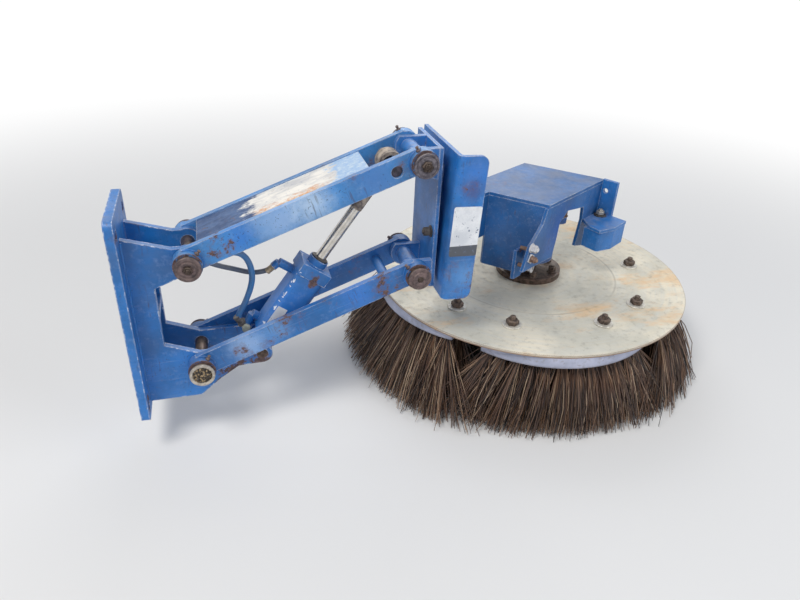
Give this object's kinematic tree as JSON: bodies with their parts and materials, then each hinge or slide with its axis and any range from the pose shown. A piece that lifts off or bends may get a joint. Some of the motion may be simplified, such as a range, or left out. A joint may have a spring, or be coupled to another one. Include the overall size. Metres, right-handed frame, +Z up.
{
  "type": "street sweeper side broom with lift arm",
  "caption": "Disc side broom of a street sweeper on a parallel-link lift arm with a hydraulic cylinder and motor yoke.",
  "frame": {"origin": "centre of the chassis bracket's mounting face, the middle of its four bolts", "axes": "+X along the arm towards the broom, +Y in under the vehicle, +Z up"},
  "size_m": [1.3583, 0.8654, 0.6],
  "materials": {
    "blue_paint": "worn blue enamel, chalked and rusted at the edges",
    "greasy_steel": "dark, greasy and rusty",
    "rusty_steel": "rusty",
    "chrome_rod": "polished",
    "bare_steel": "bare, dull and stained",
    "motor_paint": "dull blue",
    "hose_rubber": "dusty hose cover",
    "bristle_block": "wire bristles in a pale plastic block"
  },
  "bodies": {
    "chassis_bracket": {"mount_plate": "blue_paint", "ear_near": "blue_paint", "ear_far": "blue_paint", "ear_web": "blue_paint", "hose_block": "blue_paint", "pin_chassis_upper": "greasy_steel", "pin_chassis_lower": "greasy_steel", "base_pin": "greasy_steel", "hose_blue": "hose_rubber", "hose_grey": "hose_rubber"},
    "upper_arm": {"upper_bar_near": "blue_paint", "upper_bar_far": "blue_paint", "upper_top_plate": "blue_paint", "rod_pin": "greasy_steel"},
    "lower_arm": {"lower_bar_near": "blue_paint", "lower_bar_far": "blue_paint", "lower_tie_tube": "blue_paint"},
    "cylinder": {"cylinder_barrel": "blue_paint", "cylinder_head": "blue_paint", "cylinder_base_eye": "blue_paint", "port_elbow_grey": "greasy_steel", "port_elbow_blue": "greasy_steel"},
    "rod": {"cylinder_rod": "chrome_rod", "rod_eye": "rusty_steel"},
    "carrier": {"carrier_web": "blue_paint", "carrier_lug_upper_near": "blue_paint", "carrier_lug_upper_far": "blue_paint", "carrier_lug_lower_near": "blue_paint", "carrier_lug_lower_far": "blue_paint", "carrier_tube_upper": "blue_paint", "carrier_tube_lower": "blue_paint", "carrier_outer_plate": "blue_paint", "carrier_spacer": "blue_paint", "pin_carrier_upper": "greasy_steel", "pin_carrier_lower": "greasy_steel", "yoke_roof": "blue_paint", "yoke_front_wall": "blue_paint", "yoke_left_wall": "blue_paint", "yoke_rear_wall": "blue_paint", "yoke_neck_wall": "blue_paint", "guard_wing": "blue_paint", "guard_shelf": "blue_paint", "guard_skirt": "blue_paint", "clamp_ear": "blue_paint", "broom_motor": "motor_paint"},
    "broom": {"broom_hub": "greasy_steel", "broom_disc": "bare_steel", "broom_segment_1": "bristle_block", "broom_segment_2": "bristle_block", "broom_segment_3": "bristle_block", "broom_segment_4": "bristle_block", "broom_segment_5": "bristle_block"}
  },
  "joints": [
    {"name": "arm_lift", "type": "hinge", "parent": "chassis_bracket", "child": "upper_arm", "pos_m": [0.123, 0, 0.1135], "axis": [0, -1, 0], "range_deg": [-12, 22]},
    {"name": "lower_arm_pivot", "type": "hinge", "parent": "chassis_bracket", "child": "lower_arm", "pos_m": [0.123, 0, -0.1135], "axis": [0, -1, 0], "range_deg": [-12, 22]},
    {"name": "carrier_pivot", "type": "hinge", "parent": "upper_arm", "child": "carrier", "pos_m": [0.549, 0, 0.2775], "axis": [0, -1, 0], "range_deg": [-22, 12]},
    {"name": "cylinder_pivot", "type": "hinge", "parent": "chassis_bracket", "child": "cylinder", "pos_m": [0.24, 0, -0.106], "axis": [0, -1, 0], "range_deg": [-9.01, 16.35], "deforming": ["hose_blue", "hose_grey"]},
    {"name": "rod_slide", "type": "slide", "parent": "cylinder", "child": "rod", "axis": [0.5796, 0, 0.8149], "range_m": [-0.0453, 0.0827]},
    {"name": "broom_spin", "type": "hinge", "parent": "carrier", "child": "broom", "pos_m": [0.926, 0.182, -0.104], "axis": [0, 0, 1], "continuous": true}
  ],
  "couplings": [
    {"joint": "lower_arm_pivot", "follows": "arm_lift", "ratio": 1},
    {"joint": "carrier_pivot", "follows": "arm_lift", "ratio": -1},
    {"joint": "cylinder_pivot", "follows": "arm_lift", "ratio": 0.734},
    {"joint": "rod_slide", "follows": "arm_lift", "m_per_rad": 0.214}
  ]
}
